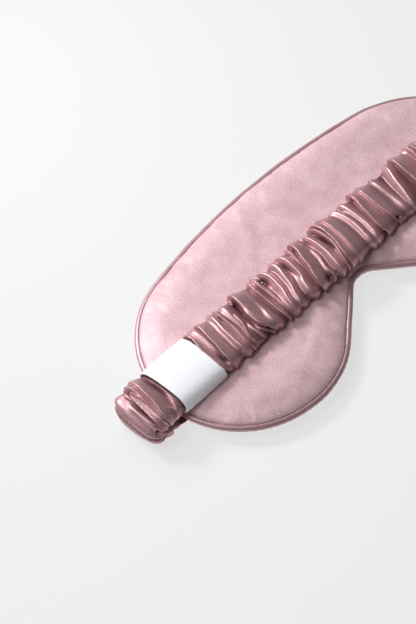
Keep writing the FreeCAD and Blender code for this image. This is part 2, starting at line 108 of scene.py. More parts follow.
def left_arcs(inset):
    """Centre, radius, first and last angle of the arcs of the left half, inside the edge by inset."""
    lobe_y = LOBE_R - HALF_HEIGHT
    cheek_centre = np.array([CHEEK_R - HALF_LENGTH, lobe_y + (CHEEK_R - LOBE_R) * math.sin(CHEEK_TURN)])
    lobe_centre = np.array([cheek_centre[0] + (LOBE_R - CHEEK_R) * math.cos(CHEEK_TURN), lobe_y])
    brow_centre = np.array([0.0, HALF_HEIGHT - BROW_R])
    rise, spare = cheek_centre[1] - brow_centre[1], BROW_R - HALF_LENGTH
    temple_r = BROW_R - (rise**2 + spare**2) / (2 * spare)
    brow_turn = math.atan2(HALF_LENGTH - temple_r, rise)
    temple_centre = np.array([temple_r - HALF_LENGTH, cheek_centre[1]])
    quarter = math.pi / 2
    arcs = [
        (brow_centre, BROW_R - inset, quarter, quarter + brow_turn),
        (temple_centre, temple_r - inset, quarter + brow_turn, 2 * quarter),
        (cheek_centre, CHEEK_R - inset, 2 * quarter, 2 * quarter + CHEEK_TURN),
        (lobe_centre, LOBE_R - inset, 2 * quarter + CHEEK_TURN, 3 * quarter + FLANK_SLOPE),
    ]
    lobe_end = lobe_centre + (LOBE_R - inset) * np.array([math.sin(FLANK_SLOPE), -math.cos(FLANK_SLOPE)])
    nose_r = NOSE_R + inset
    run = (-lobe_end[0] - nose_r * math.sin(FLANK_SLOPE)) / math.cos(FLANK_SLOPE)
    nose_start = lobe_end + run * np.array([math.cos(FLANK_SLOPE), math.sin(FLANK_SLOPE)])
    nose_centre = np.array([0.0, nose_start[1] - nose_r * math.cos(FLANK_SLOPE)])
    arcs.append((nose_centre, nose_r, quarter + FLANK_SLOPE, quarter))
    return arcs


OUTLINE_STEPS = (44, 60, 42, 88, 14)
FLANK_STEPS = 26


def outline(inset):
    """The whole outline as points, anticlockwise from the top centre; the same number at every inset."""
    left = []
    for number, ((centre, radius, first, last), steps) in enumerate(zip(left_arcs(inset), OUTLINE_STEPS)):
        angles = np.linspace(first, last, steps + 1)
        points = centre + radius * np.stack([np.cos(angles), np.sin(angles)], axis=1)
        if number == 4:
            flank = np.linspace(left[-1][-1], points[0], FLANK_STEPS + 1)[1:-1]
            left.append(flank)
            left.append(points)
        else:
            left.append(points if number == 0 else points[1:])
    left = np.concatenate(left)
    right = left[::-1][1:-1] * np.array([-1.0, 1.0])
    return np.concatenate([left, right])


edge = outline(0.0)
print("outline points", len(edge), "lowest", edge[:, 1].min(), "leftmost", edge[:, 0].min())

# %% [markdown]
# ## Making meshes
# Two short helpers turn arrays of points into Blender objects. A tube or sheet is a grid of points, and the
# faces only say which neighbours join up. UVs are in millimetres along the cloth, so a weave has a real size.

# %% Mesh helpers
def make_piece(name, points_mm, faces, uv_mm=None):
    """An object from points in millimetres."""
    mesh = bpy.data.meshes.new(name)
    mesh.from_pydata((np.asarray(points_mm) * MM).tolist(), [], faces)
    mesh.update()
    mesh.polygons.foreach_set("use_smooth", [True] * len(mesh.polygons))
    if uv_mm is not None:
        layer = mesh.uv_layers.new(name="cloth")
        corners = np.empty(len(mesh.loops), dtype=np.int32)
        mesh.loops.foreach_get("vertex_index", corners)
        layer.data.foreach_set("uv", np.asarray(uv_mm, dtype=np.float32)[corners].ravel())
    piece = bpy.data.objects.new(name, mesh)
    bpy.context.scene.collection.objects.link(piece)
    return piece


def grid_faces(rows, columns, close_rows=False, close_columns=False):
    """Faces of a grid of points, closed on itself across or along if asked."""
    faces = []
    for i in range(rows if close_rows else rows - 1):
        for j in range(columns if close_columns else columns - 1):
            a, b = i * columns + j, i * columns + (j + 1) % columns
            c, d = ((i + 1) % rows) * columns + (j + 1) % columns, ((i + 1) % rows) * columns + j
            faces.append((a, b, c, d))
    return faces


def smooth_noise(seed, period, terms):
    """A repeatable wavy function of a distance, made of sines whose wavelengths are near period."""
    random = np.random.default_rng(seed)
    waves = []
    for _ in range(terms):
        rate = random.uniform(0.6, 1.8) / period
        start = random.uniform(0, 2 * math.pi)
        waves.append((rate, start, random.uniform(0.5, 1.0)))
    total = sum(strength for _, _, strength in waves)

    def wave(x):
        sines = (strength * np.sin(2 * math.pi * rate * x + start) for rate, start, strength in waves)
        return sum(sines) / total

    return wave


# %% [markdown]
# ## Shader expressions
# Node trees are easier to read as sums. A Value wraps a socket, so threads * 0.5 + sparkle * 0.5 adds the
# Math nodes it means. Finish.node makes any other node from its type, its settings and the values of its
# sockets.

# %% Shader helper
class Value:
    """A number that changes over a surface, as a socket of a finish's node tree."""

    def __init__(self, finish, socket):
        self.finish = finish
        self.socket = socket

    def maths(self, operation, first, second):
        return self.finish.node("ShaderNodeMath", {"operation": operation}, {0: first, 1: second})

    def __add__(self, other):
        return self.maths("ADD", self, other)

    __radd__ = __add__

    def __mul__(self, other):
        return self.maths("MULTIPLY", self, other)


class Finish:
    """A material being built."""

    def __init__(self, name):
        self.material = bpy.data.materials.new(name)
        self.material.use_nodes = True
        self.tree = self.material.node_tree
        self.tree.nodes.clear()
        self.shader = self.tree.nodes.new("ShaderNodeBsdfPrincipled")
        output = self.tree.nodes.new("ShaderNodeOutputMaterial")
        self.tree.links.new(self.shader.outputs["BSDF"], output.inputs["Surface"])

    def feed(self, socket, value):
        """Links a Value to a socket, or sets the socket to a plain value."""
        if isinstance(value, Value):
            self.tree.links.new(value.socket, socket)
        else:
            socket.default_value = value

    def node(self, kind, settings=None, values=None, output=0):
        """A node of any type, its settings first, then the values or links of its sockets."""
        made = self.tree.nodes.new(kind)
        for setting, value in (settings or {}).items():
            setattr(made, setting, value)
        for key, value in (values or {}).items():
            self.feed(made.inputs[key], value)
        return Value(self, made.outputs[output])

    def noise(self, place, scale, detail, dimensions="3D"):
        """A noise over a place: of the cloth (2D) or in space (3D)."""
        settings = {"noise_dimensions": dimensions}
        return self.node("ShaderNodeTexNoise", settings, {"Vector": place, "Scale": scale, "Detail": detail})

    def mix(self, factor, first, second):
        """A colour between two colours."""
        return self.node("ShaderNodeMix", {"data_type": "RGBA"}, {0: factor, 6: first, 7: second}, 2)

    def smooth(self, value, low, high):
        """0 below low, 1 above high, with a soft step between."""
        settings = {"interpolation_type": "SMOOTHSTEP"}
        return self.node("ShaderNodeMapRange", settings, {"Value": value, "From Min": low, "From Max": high})

    def surface(self, **values):
        """Sets or links the shader's own sockets, named with spaces as underscores."""
        for name, value in values.items():
            self.feed(self.shader.inputs[name.replace("_", " ")], value)
        return self.material


# %% [markdown]
# ## Satin
# Satin shows long floating threads on its face: smooth, with a soft sheen and a fine streaky grain, brighter
# where a thread catches the light. The grain is a noise stretched along the threads, and a finer one across
# them gives the slight sparkle. Both change the colour a little, the roughness a little, and feed one bump.

# %% Satin finish
THREAD_STRETCH = (0.55, 2.6, 1.0)


def satin(name, dark, light, roughness, lustre, crease_shade_colour=None, grain=0.8, slub_mm=9.0):
    """A woven satin: colour between dark and light with thread grain, and painted shade down in the creases."""
    finish = Finish(name)
    cloth = finish.node("ShaderNodeUVMap", {"uv_map": "cloth"})
    stretched = finish.node("ShaderNodeVectorMath", {"operation": "MULTIPLY"}, {0: cloth, 1: THREAD_STRETCH})
    threads = finish.noise(stretched, 1.6, 3.0, "2D")
    sparkle = finish.noise(cloth, 1.9, 2.0, "2D")
    slubs = finish.noise(cloth, 1.0 / slub_mm, 2.0, "2D")
    weave = threads * 0.5 + sparkle * 0.5
    tone = finish.smooth(weave * grain + slubs * (1.0 - grain), 0.36, 0.64)
    colour = finish.mix(tone, dark, light)
    # Painted shade: the dark crease colour is mixed in where the cloth lies far down in a crease.
    if crease_shade_colour is not None:
        depth = finish.node("ShaderNodeAttribute", {"attribute_name": "crease_shade_amount"}, output=2)
        colour = finish.mix(depth, colour, crease_shade_colour)
    gloss = roughness - 0.05 + weave * 0.1
    bump = finish.node("ShaderNodeBump", {}, {"Strength": 0.16, "Distance": 0.0002, "Height": weave})
    finish.surface(Base_Color=colour, Roughness=gloss, Normal=bump, Metallic=lustre)
    finish.surface(Specular_IOR_Level=0.3 + lustre)
    return finish.surface(Sheen_Weight=0.12, Sheen_Roughness=0.35, Sheen_Tint=(1.0, 0.86, 0.88, 1.0))


PANEL_SATIN = satin("satin_panel", (0.58, 0.36, 0.395, 1), (0.86, 0.60, 0.65, 1), 0.50, 0.12)
PIPING_SATIN = satin("satin_piping", (0.46, 0.26, 0.29, 1), (0.58, 0.36, 0.40, 1), 0.36, 0.35)
# Painted shade colour for the strap's creases.
STRAP_CREASE_SHADE = (0.09, 0.012, 0.02, 1)
STRAP_SATIN = satin("satin_strap", (0.46, 0.24, 0.26, 1), (0.66, 0.40, 0.43, 1), 0.43, 0.6, STRAP_CREASE_SHADE)
LABEL_SATIN = satin("satin_label", (0.90, 0.91, 0.95, 1), (0.96, 0.97, 1.0, 1), 0.42, 0.0)


# %% Cotton, wadding and thread finishes
def yarn(name, dark, light, scale_mm, roughness, bump_mm):
    """A matte textile in object space: fibres of one scale, with soft clumps ten times as large."""
    finish = Finish(name)
    place = finish.node("ShaderNodeTexCoord", output=3)
    fibres = finish.noise(place, 1000.0 / scale_mm, 4.0)
    clumps = finish.noise(place, 100.0 / scale_mm, 2.0)
    tone = finish.smooth(fibres * 0.7 + clumps * 0.3, 0.3, 0.7)
    bump = finish.node("ShaderNodeBump", {}, {"Strength": 0.5, "Distance": bump_mm * MM, "Height": fibres})
    finish.surface(Base_Color=finish.mix(tone, dark, light), Roughness=roughness + fibres * 0.1, Normal=bump)
    return finish.surface(Sheen_Weight=0.2, Sheen_Roughness=0.5)


def knitted(name, dark, light):
    """Braided elastic: small chevrons of yarn repeated along and across the band."""
    finish = Finish(name)
    cloth = finish.node("ShaderNodeUVMap", {"uv_map": "cloth"})
    settings = {"wave_type": "BANDS", "bands_direction": "DIAGONAL"}
    braid = {"Vector": cloth, "Scale": 0.9, "Distortion": 0.6}
    chevrons = finish.node("ShaderNodeTexWave", settings, braid, 1)
    fibres = finish.noise(cloth, 4.0, 2.0)
    yarn_height = chevrons * 0.7 + fibres * 0.3
    bump = finish.node("ShaderNodeBump", {}, {"Strength": 0.5, "Distance": 0.0003, "Height": yarn_height})
    colour = finish.mix(yarn_height, dark, light)
    return finish.surface(Base_Color=colour, Roughness=0.75 + fibres * 0.1, Normal=bump)


ELASTIC_KNIT = knitted("elastic_knit", (0.66, 0.65, 0.64, 1), (0.86, 0.85, 0.84, 1))
WADDING = yarn("polyester_wadding", (0.78, 0.77, 0.76, 1), (0.92, 0.91, 0.90, 1), 0.6, 0.9, 0.3)
LINING = yarn("blackout_cloth", (0.010, 0.010, 0.012, 1), (0.030, 0.030, 0.034, 1), 0.35, 0.8, 0.1)
CORD = yarn("piping_cord", (0.62, 0.58, 0.54, 1), (0.80, 0.77, 0.73, 1), 0.3, 0.85, 0.15)
ROSE_THREAD = yarn("rose_thread", (0.44, 0.22, 0.25, 1), (0.60, 0.35, 0.39, 1), 0.15, 0.55, 0.08)
WHITE_THREAD = yarn("white_thread", (0.76, 0.77, 0.80, 1), (0.90, 0.91, 0.94, 1), 0.15, 0.55, 0.08)
print("finishes made")

# %% [markdown]
# ## Padding
# Each side of the mask is a satin panel blown out by wadding and held down all round by the seam. A grid of
# rings follows the outline near the edge, where the cloth turns over, and a plain triangulated fill covers
# the middle. Formulas give the crown, the puckers and the hollows. A short cloth simulation with a little
# pressure then moves the cloth slightly, and is capped because the wadding comes through if it goes further.

# %% Padded panels
RING_INSETS = [2.0, 2.4, 2.9, 3.5, 4.2, 5.0, 6.0, 7.1, 8.3, 9.7, 11.3, 13.0]
FILL_STEP = 2.3


def panel_plan():
    """Points and faces of a flat panel: rings near the edge, triangles in the middle."""
    rings = [outline(inset) for inset in RING_INSETS]
    count = len(rings[0])
    points = [np.concatenate(rings)]
    faces = grid_faces(len(rings), count, close_columns=True)
    inner = outline(RING_INSETS[-1] + FILL_STEP * 0.8)
    rows = np.arange(-60, 60, FILL_STEP * 0.87)
    fill = []
    for number, y in enumerate(rows):
        shift = FILL_STEP / 2 if number % 2 else 0.0
        fill.extend([(x + shift, y) for x in np.arange(-HALF_LENGTH, HALF_LENGTH, FILL_STEP)])
    fill = np.array(fill)
    fill = fill[inside(fill, inner)]
    last = rings[-1][::2]
    everything = np.concatenate([last, fill])
    loop = [(i, (i + 1) % len(last)) for i in range(len(last))]
    found = delaunay_2d_cdt([Vector(p) for p in everything], loop, [], 1, 1e-6)
    start = (len(rings) - 1) * count
    index = {}
    extra = []
    for number, origins in enumerate(found[3]):
        if origins and origins[0] < len(last):
            index[number] = start + 2 * origins[0]
        else:
            index[number] = len(rings) * count + len(extra)
            extra.append(tuple(found[0][number]))
    faces += [tuple(index[v] for v in face) for face in found[2]]
    points.append(np.array(extra))
    return np.concatenate(points), stitch(faces, start, count)


def inside(points, loop):
    """Which points lie inside a closed loop."""
    result = np.zeros(len(points), dtype=bool)
    following = np.roll(loop, -1, axis=0)
    for (x0, y0), (x1, y1) in zip(loop, following):
        crosses = (y0 > points[:, 1]) != (y1 > points[:, 1])
        with np.errstate(divide="ignore", invalid="ignore"):
            at = (x1 - x0) * (points[:, 1] - y0) / (y1 - y0) + x0
        result ^= crosses & (points[:, 0] < at)
    return result


def stitch(faces, start, count):
    """Triangles that use every second point of the last ring get its skipped points back."""
    joined = []
    for face in faces:
        grown = []
        for a, b in zip(face, face[1:] + face[:1]):
            grown.append(a)
            both = start <= a < start + count and start <= b < start + count
            gap = (b - a) % count if both else 0
            if both and gap == 2:
                grown.append(start + (a - start + 1) % count)
            if both and gap == count - 2:
                grown.append(start + (b - start + 1) % count)
        joined.append(tuple(grown))
    return joined


def edge_distance(points):
    """How far each point lies inside the outline, and how far along the outline the nearest place is."""
    following = np.roll(edge, -1, axis=0)
    lengths = np.linalg.norm(following - edge, axis=1)
    start = np.concatenate([[0.0], np.cumsum(lengths)[:-1]])
    best = np.full(len(points), 1e9)
    along = np.zeros(len(points))
    for (a, b, length, begin) in zip(edge, following, lengths, start):
        t = np.clip(((points - a) @ (b - a)) / length**2, 0, 1)
        distance = np.linalg.norm(points - (a + t[:, None] * (b - a)), axis=1)
        nearer = distance < best
        best = np.where(nearer, distance, best)
        along = np.where(nearer, begin + t * length, along)
    return best, along


plan, plan_faces = panel_plan()
inset, along_edge = edge_distance(plan)
print("panel points", len(plan), "faces", len(plan_faces))


def crown(roll, share=2.2):
    """Height of a stuffed panel, 0 at the seam and 1 in the middle, with a round shoulder roll wide."""
    depth = np.clip((inset - RING_INSETS[0]) / roll, 0, 1)
    return (1 - (1 - depth) ** share) ** (1 / share)


def padded_panel(name, base_z, crown_z, roll, seed, node):
    """A stuffed satin panel from its seam line to its crown, with seam puckers, settled by simulation."""
    height = crown(roll)
    pucker = smooth_noise(seed, 7.0, 14)(along_edge) + 0.6 * smooth_noise(seed + 1, 3.4, 10)(along_edge)
    near_seam = np.exp(-(((inset - RING_INSETS[0]) - 2.4) / 3.0) ** 2)
    hollows = smooth_noise(seed + 2, 38.0, 8)(plan[:, 0]) * smooth_noise(seed + 3, 30.0, 8)(plan[:, 1])
    side = np.sign(crown_z - base_z)
    z = base_z + (crown_z - base_z) * height + side * (0.26 * pucker * near_seam + 0.25 * hollows * height)
    piece = make_piece(name, np.column_stack([plan, z]), plan_faces, plan)
    settle(piece, side)
    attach(piece, "mask")
    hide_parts(node)
    return piece


FRAMES = 9
MOST_SETTLING, MOST_INWARD = 0.45, 0.04


def settle(piece, side):
    """A capped cloth simulation: pinned at the seam, pressed outward, and cut a little too large."""
    start = np.array([vertex.co for vertex in piece.data.vertices]) / MM
    seam = piece.vertex_groups.new(name="seam")
    held = [int(index) for index in np.flatnonzero(inset < RING_INSETS[1] - 0.05)]
    seam.add(held, 1.0, "REPLACE")
    modifier = piece.modifiers.new("settling", "CLOTH")
    cloth_settings = modifier.settings
    cloth_settings.quality = 6
    cloth_settings.mass = 0.2
    cloth_settings.tension_stiffness = 12
    cloth_settings.compression_stiffness = 12
    cloth_settings.shear_stiffness = 5
    cloth_settings.bending_stiffness = 1.2
    cloth_settings.shrink_min = -0.006
    cloth_settings.vertex_group_mass = "seam"
    cloth_settings.use_pressure = True
    cloth_settings.uniform_pressure_force = 0.5 * side
    cloth_settings.effector_weights.gravity = 0.0
    modifier.collision_settings.use_collision = False
    modifier.point_cache.frame_end = FRAMES
    for number in range(1, FRAMES + 1):
        bpy.context.scene.frame_set(number)
    settled = piece.evaluated_get(bpy.context.evaluated_depsgraph_get())
    moved = np.array([vertex.co for vertex in settled.data.vertices]) / MM - start
    moved[:, 2] = side * np.maximum(side * moved[:, 2], -MOST_INWARD)
    length = np.linalg.norm(moved, axis=1)
    share = np.minimum(1.0, MOST_SETTLING / np.maximum(length, 1e-6))
    piece.modifiers.remove(modifier)
    piece.vertex_groups.remove(seam)
    bpy.context.scene.frame_set(1)
    piece.data.vertices.foreach_set("co", ((start + moved * share[:, None]) * MM).ravel())
    piece.data.update()
    most, mean = round(float(length.max()), 2), round(float(length.mean()), 2)
    print(piece.name, "simulated movement up to", most, "mean", mean, "mm, capped at", MOST_SETTLING)


face_pad = padded_panel("face_pad", SEAM_Z + 0.35, face_high[2] + 0.25, 15.0, 11, "face_panel")
front_pad = padded_panel("front_pad", SEAM_Z - 0.35, front_low[2] + 0.05, 12.0, 23, "front_panel")
for pad in (face_pad, front_pad):
    pad.data.materials.append(PANEL_SATIN)

# %% [markdown]
# ## Piping
# The piping is a thin cord wrapped in a bias strip and sewn into the seam, so it stands as a fine round edge
# with a ditch on either side. It is a tube along the outline, and tiny pulls in the cloth keep it from
# looking like wire.

# %% Piping
PIPING_SIDES = 14


def piping_tube():
    """The piping as a closed tube of points and its cloth coordinates."""
    line = outline(PIPING_R)
    ahead, behind = np.roll(line, -1, axis=0), np.roll(line, 1, axis=0)
    direction = ahead - behind
    direction /= np.linalg.norm(direction, axis=1)[:, None]
    outward = np.column_stack([direction[:, 1], -direction[:, 0]])
    length = np.concatenate([[0], np.cumsum(np.linalg.norm(np.diff(line, axis=0), axis=1))])
    pulls = smooth_noise(5, 5.0, 12)(length) * 0.07
    sway = smooth_noise(6, 26.0, 8)(length) * 0.12
    points, cloth = [], []
    for number in range(PIPING_SIDES):
        angle = 2 * math.pi * number / PIPING_SIDES
        twist = 0.05 * np.sin(length * 1.9 + angle * 2) + pulls
        radius = PIPING_R - 0.08 + twist
        flat = line + outward * (radius * math.cos(angle) + sway)[:, None]
        points.append(np.column_stack([flat, SEAM_Z + radius * math.sin(angle)]))
        cloth.append(np.column_stack([length, np.full(len(line), angle * PIPING_R)]))
    points = np.stack(points, axis=1).reshape(-1, 3)
    return points, np.stack(cloth, axis=1).reshape(-1, 2), len(line)


tube, tube_cloth, tube_rows = piping_tube()
piping = make_piece("piping", tube, grid_faces(tube_rows, PIPING_SIDES, True, True), tube_cloth)
piping.data.materials.append(PIPING_SATIN)
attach(piping, "mask")
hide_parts("piping_cover")
print("piping rows", tube_rows)

# %% [markdown]
# ## The gathered strap
# The strap's cover is a satin tube about a fifth longer than the elastic inside it, so it buckles into
# ruffles that run across the strap. They aren't simulated. They are listed one by one from the left seam to
# just past the middle length, as a maker would push them along the elastic. The ruffles further right, and
# small pinches along both edges, are drawn at random from a fixed seed.
# Each one is a line across the strap through six places: forehead shoulder, forehead side of the top, middle,
# cheek side of the top, cheek shoulder, and down on the mask.

# %% Path of the strap
ARC = math.pi * FOLD_R
SEAM_S = FOLD_X + ARC + (FOLD_X - HALF_LENGTH)
TAIL_S = SEAM_S + 7.5


def strap_frame(s):
    """X and Z of the strap's centre line and its outward direction, at a distance from the middle."""
    side = np.sign(s)
    beyond = np.abs(s) - FOLD_X
    turn = np.clip(beyond / FOLD_R, 0, math.pi)
    x = np.minimum(np.abs(s), FOLD_X) + FOLD_R * np.sin(turn) - np.maximum(beyond - ARC, 0)
    z = STRAP_Z - FOLD_R + FOLD_R * np.cos(turn)
    outward = np.stack([side * np.sin(turn), np.cos(turn)], axis=-1)
    return side * x, z, outward


def soft_limit(value, limit, softness):
    """value, eased so that it never passes limit."""
    return limit - softness * np.logaddexp(0.0, (limit - value) / softness)


# %% Ruffles, from the left seam to the right one
LIP, PUFF, CREASE, SOFT = (0.9, 5.6, -0.5), (2.5, 3.2, -0.15), (1.0, 1.8, -0.25), (3.2, 3.4, 0.0)
# Each row: places along the strap at the six stations, heights there in tenths, and the kind of ruffle.
RUFFLES = [
    ((-144.0, -144.0, -144.2, -144.0, -143.8, -144.0), (4, 4, 4, 4, 4, 4), SOFT),
    ((-139.0, -138.6, -138.8, -139.2, -139.0, -139.4), (6, 7, 7, 6, 7, 6), PUFF),
    ((-133.8, -134.0, -134.2, -133.6, -134.4, -134.0), (8, 8, 7, 8, 8, 8), LIP),
    ((-130.4, -130.2, -130.2, -130.4, -130.0, -129.8), (7, 8, 8, 8, 8, 7), PUFF),
    ((-127.6, -127.8, -127.8, -127.9, -128.2, -127.8), (7, 8, 9, 8, 9, 8), CREASE),
    ((-125.0, -125.2, -125.4, -125.7, -126.0, -125.8), (7, 8, 8, 8, 9, 8), CREASE),
    ((-121.2, -122.0, -122.8, -123.4, -124.0, -123.8), (9, 10, 10, 10, 10, 9), LIP),
    ((-118.0, -119.6, -120.4, -120.8, -121.2, -120.8), (3, 6, 8, 8, 7, 8), PUFF),
    ((-121.0, -121.0, -121.0, -121.0, -121.8, -122.8), (0, 0, 0, 2, 9, 9), CREASE),
    ((-114.9, -117.5, -118.3, -118.9, -119.6, -118.9), (9, 11, 10, 10, 10, 10), LIP),
    ((-113.9, -116.5, -117.3, -117.7, -117.9, -116.2), (9, 10, 8, 9, 9, 9), CREASE),
    ((-111.6, -112.6, -113.6, -115.4, -115.9, -114.2), (11, 12, 12, 12, 11, 10), LIP),
    ((-108.0, -108.6, -110.6, -112.4, -110.0, -109.4), (6, 3, 2, 6, 8, 5), CREASE),
    ((-106.2, -106.4, -106.8, -108.0, -109.9, -111.0), (3, 4, 5, 8, 9, 9), LIP),
    ((-97.0, -96.0, -96.0, -96.0, -97.0, -97.0), (5, 5, 5, 5, 5, 5), SOFT),
    ((-88.0, -89.0, -88.0, -87.0, -88.0, -87.0), (5, 5, 5, 5, 5, 5), SOFT),
    ((-78.0, -78.5, -81.0, -81.8, -79.4, -76.6), (10, 9, 8, 9, 8, 7), LIP),
    ((-75.6, -76.0, -76.8, -77.6, -78.2, -77.6), (10, 9, 8, 4, 7, 5), SOFT),
    ((-70.8, -72.4, -73.9, -75.6, -75.2, -73.8), (11, 12, 12, 12, 11, 9), LIP),
    ((-64.3, -65.6, -67.2, -68.0, -67.0, -65.2), (9, 9, 10, 10, 10, 8), PUFF),
    ((-60.8, -62.5, -62.6, -64.2, -63.8, -62.0), (10, 10, 8, 8, 8, 7), CREASE),
    ((-57.4, -58.6, -59.2, -61.4, -60.0, -58.4), (8, 7, 4, 3, 5, 5), SOFT),
    ((-57.0, -56.6, -58.2, -61.2, -60.4, -58.6), (0, 2, 9, 6, 2, 0), CREASE),
    ((-55.0, -55.6, -56.6, -57.9, -56.4, -54.6), (0, 0, 2, 8, 8, 3), CREASE),
    ((-52.2, -53.4, -54.0, -55.4, -52.4, -49.4), (8, 1, 0, 4, 9, 6), CREASE),
    ((-49.0, -50.6, -53.0, -53.2, -49.4, -48.2), (12, 13, 13, 12, 7, 5), LIP),
    ((-44.6, -45.4, -46.4, -48.4, -46.8, -45.2), (6, 6, 5, 9, 9, 7), PUFF),
    ((-39.6, -41.6, -42.1, -42.6, -41.4, -40.0), (9, 9, 6, 6, 8, 8), CREASE),
    ((-37.2, -39.1, -39.3, -39.8, -38.6, -37.0), (10, 10, 9, 9, 9, 8), CREASE),
    ((-34.4, -32.4, -33.4, -36.4, -36.6, -35.4), (10, 11, 11, 11, 11, 9), PUFF),
    ((-33.4, -33.8, -35.4, -36.6, -36.0, -35.0), (0, 3, 6, 2, 0, 0), CREASE),
    ((-26.0, -26.3, -28.6, -31.9, -32.4, -30.6), (9, 9, 9, 9, 9, 8), PUFF),
    ((-22.4, -21.2, -22.4, -25.4, -25.2, -23.6), (9, 11, 11, 9, 9, 8), PUFF),
    ((-15.6, -16.8, -18.0, -21.4, -21.6, -20.0), (9, 6, 3, 2, 3, 3), CREASE),
    ((-11.6, -13.2, -15.8, -18.6, -19.2, -18.0), (12, 12, 12, 12, 11, 8), LIP),
    ((-9.6, -9.4, -9.9, -12.6, -11.8, -12.4), (2, 5, 8, 7, 9, 8), CREASE),
    ((-8.0, -6.1, -5.7, -7.2, -7.6, -7.2), (10, 10, 10, 10, 11, 9), PUFF),
    ((-1.2, -0.1, -0.3, -2.9, -3.8, -3.2), (10, 10, 10, 9, 9, 8), CREASE),
    ((1.6, 2.5, 1.7, -0.6, -0.9, -0.4), (11, 12, 12, 12, 11, 9), LIP),
    ((5.4, 6.0, 5.6, 4.2, 3.9, 4.2), (11, 11, 12, 12, 11, 9), LIP),
    ((12.0, 13.3, 13.6, 12.4, 12.4, 13.6), (8, 8, 8, 8, 8, 8), PUFF),
    ((17.4, 17.4, 17.4, 16.6, 16.0, 16.4), (9, 8, 8, 9, 9, 8), PUFF),
    ((25.2, 24.0, 21.9, 20.4, 21.4, 23.0), (11, 11, 11, 11, 10, 7), LIP),
    ((29.4, 28.8, 28.0, 28.0, 29.0, 30.4), (10, 10, 10, 9, 6, 6), LIP),
    ((36.2, 36.0, 35.6, 35.2, 36.2, 37.0), (5, 5, 5, 7, 8, 7), SOFT),
    ((46.8, 44.6, 41.8, 39.6, 39.0, 40.2), (10, 10, 10, 9, 9, 8), PUFF),
    ((51.8, 50.6, 49.6, 49.0, 49.8, 50.8), (12, 12, 12, 12, 11, 9), LIP),
]
random = np.random.default_rng(31)


def further_ruffles(first, last):
    """Ruffles of the right half, as uneven as the left ones, up to its seam."""
    made = []
    place = first
    while place < last:
        place += random.choice([4.4, 5.6, 6.4, 7.4, 9.0])
        bend = np.cumsum(random.normal(-0.35, 0.8, 6)) + place
        heights = np.clip(random.normal(9.5, 1.6, 6), 5, 12)
        made.append((tuple(bend), tuple(heights), (LIP, PUFF, PUFF, CREASE)[random.integers(4)]))
    return made


def pinches():
    """Small creases low on both edges of the strap, where the cover is caught against the elastic."""
    made = []
    for place in np.arange(-138.0, 138.0, 7.0):
        at = place + random.normal(0, 2.0)
        low = random.uniform(4, 8)
        edge_heights = (0, 0, 0, 1, low, low) if random.random() < 0.6 else (low, 2, 0, 0, 0, 0)
        made.append(((at - 0.6, at - 0.3, at, at, at + 0.4, at + 0.8), edge_heights, CREASE))
    return made


ruffles = RUFFLES + further_ruffles(53.0, 136.0) + pinches()
# Small deep hollows where a fold curls over itself: place along, station, half length, half width, depth.
HOLLOWS = [
    (-116.4, 0.26, 0.8, 3.4, 2.6), (-122.4, 0.88, 1.0, 1.2, 2.0), (-107.6, 0.45, 1.4, 7.0, 1.4),
    (-119.6, 0.50, 0.6, 6.0, 1.6), (-124.4, 0.45, 0.8, 7.0, 1.6),
    (-77.4, 0.76, 0.8, 2.6, 1.9), (-63.1, 0.30, 0.8, 3.2, 1.3), (-52.6, 0.34, 1.3, 4.4, 1.8),
    (-51.4, 0.82, 0.6, 1.6, 1.4), (-52.4, 0.88, 0.6, 1.6, 0.9), (-40.6, 0.36, 0.6, 3.4, 1.0),
    (-35.4, 0.26, 1.2, 2.8, 2.2), (-24.0, 0.34, 1.1, 4.6, 1.7), (-14.0, 0.12, 0.8, 1.2, 2.6),
    (-14.2, 0.86, 1.3, 1.9, 1.9), (-7.9, 0.24, 1.0, 3.4, 1.9), (-2.0, 0.44, 0.7, 2.6, 1.6),
    (14.6, 0.22, 0.9, 1.5, 0.8), (23.6, 0.12, 0.8, 1.2, 2.2), (29.8, 0.83, 1.0, 1.1, 2.2),
    (21.0, 0.88, 0.8, 1.3, 1.4), (37.4, 0.14, 0.8, 1.0, 0.8), (64.0, 0.30, 0.8, 3.0, 1.2),
    (81.0, 0.75, 0.9, 1.6, 1.6), (98.0, 0.20, 0.8, 2.0, 1.4),
]
print("ruffles", len(ruffles), "hollows", len(HOLLOWS))

# %% [markdown]
# ### Shape of the cover
# A ruffle is a ridge with its own width on each side: a lip is steep to the left and falls gently to the
# right, where the cloth lies as a smooth facet. Where two ruffles meet, the higher one wins, which leaves the
# sharp crease between them. Leaning the ridge to the left makes its lip hang over that crease.

# %% Gathered cover
AROUND = 96
STEP = 0.36
STATIONS = np.array([0.10, 0.30, 0.50, 0.70, 0.88, 1.03, 1.50, 1.85]) * math.pi
HALF_WIDTH = 11.0
WAIST, TOP_RISE, UNDER_DROP = -1.4, 2.9, 1.6
RUFFLE_HEIGHT, DEEPEST = 3.35, -0.5
RIDGE_SHARPNESS = 9
CLOTH_RADIUS, HOLLOW_RADIUS = 8.0, 7.5
PAD_GAP, LOWEST_IN_FOLD = 0.35, -3.4
angle = np.linspace(0, 2 * math.pi, AROUND, endpoint=False)


def outer_length(s):
    """Distance along the cover's outside, which is longer than the centre line round the folds."""
    return s + 0.85 * np.sign(s) * np.clip(np.abs(s) - FOLD_X, 0, ARC)


outside0 = np.arange(-outer_length(TAIL_S), outer_length(TAIL_S) + STEP / 2, STEP)
evenly = np.linspace(-TAIL_S, TAIL_S, 4000)
along0 = np.interp(outside0, outer_length(evenly), evenly)


def round_tube(values):
    """Values at the stations, spread round the tube without corners."""
    spread = np.interp(angle, STATIONS, values, period=2 * math.pi)
    window = np.hanning(13)
    return np.convolve(np.concatenate([spread[-6:], spread, spread[:6]]), window / window.sum(), "valid")


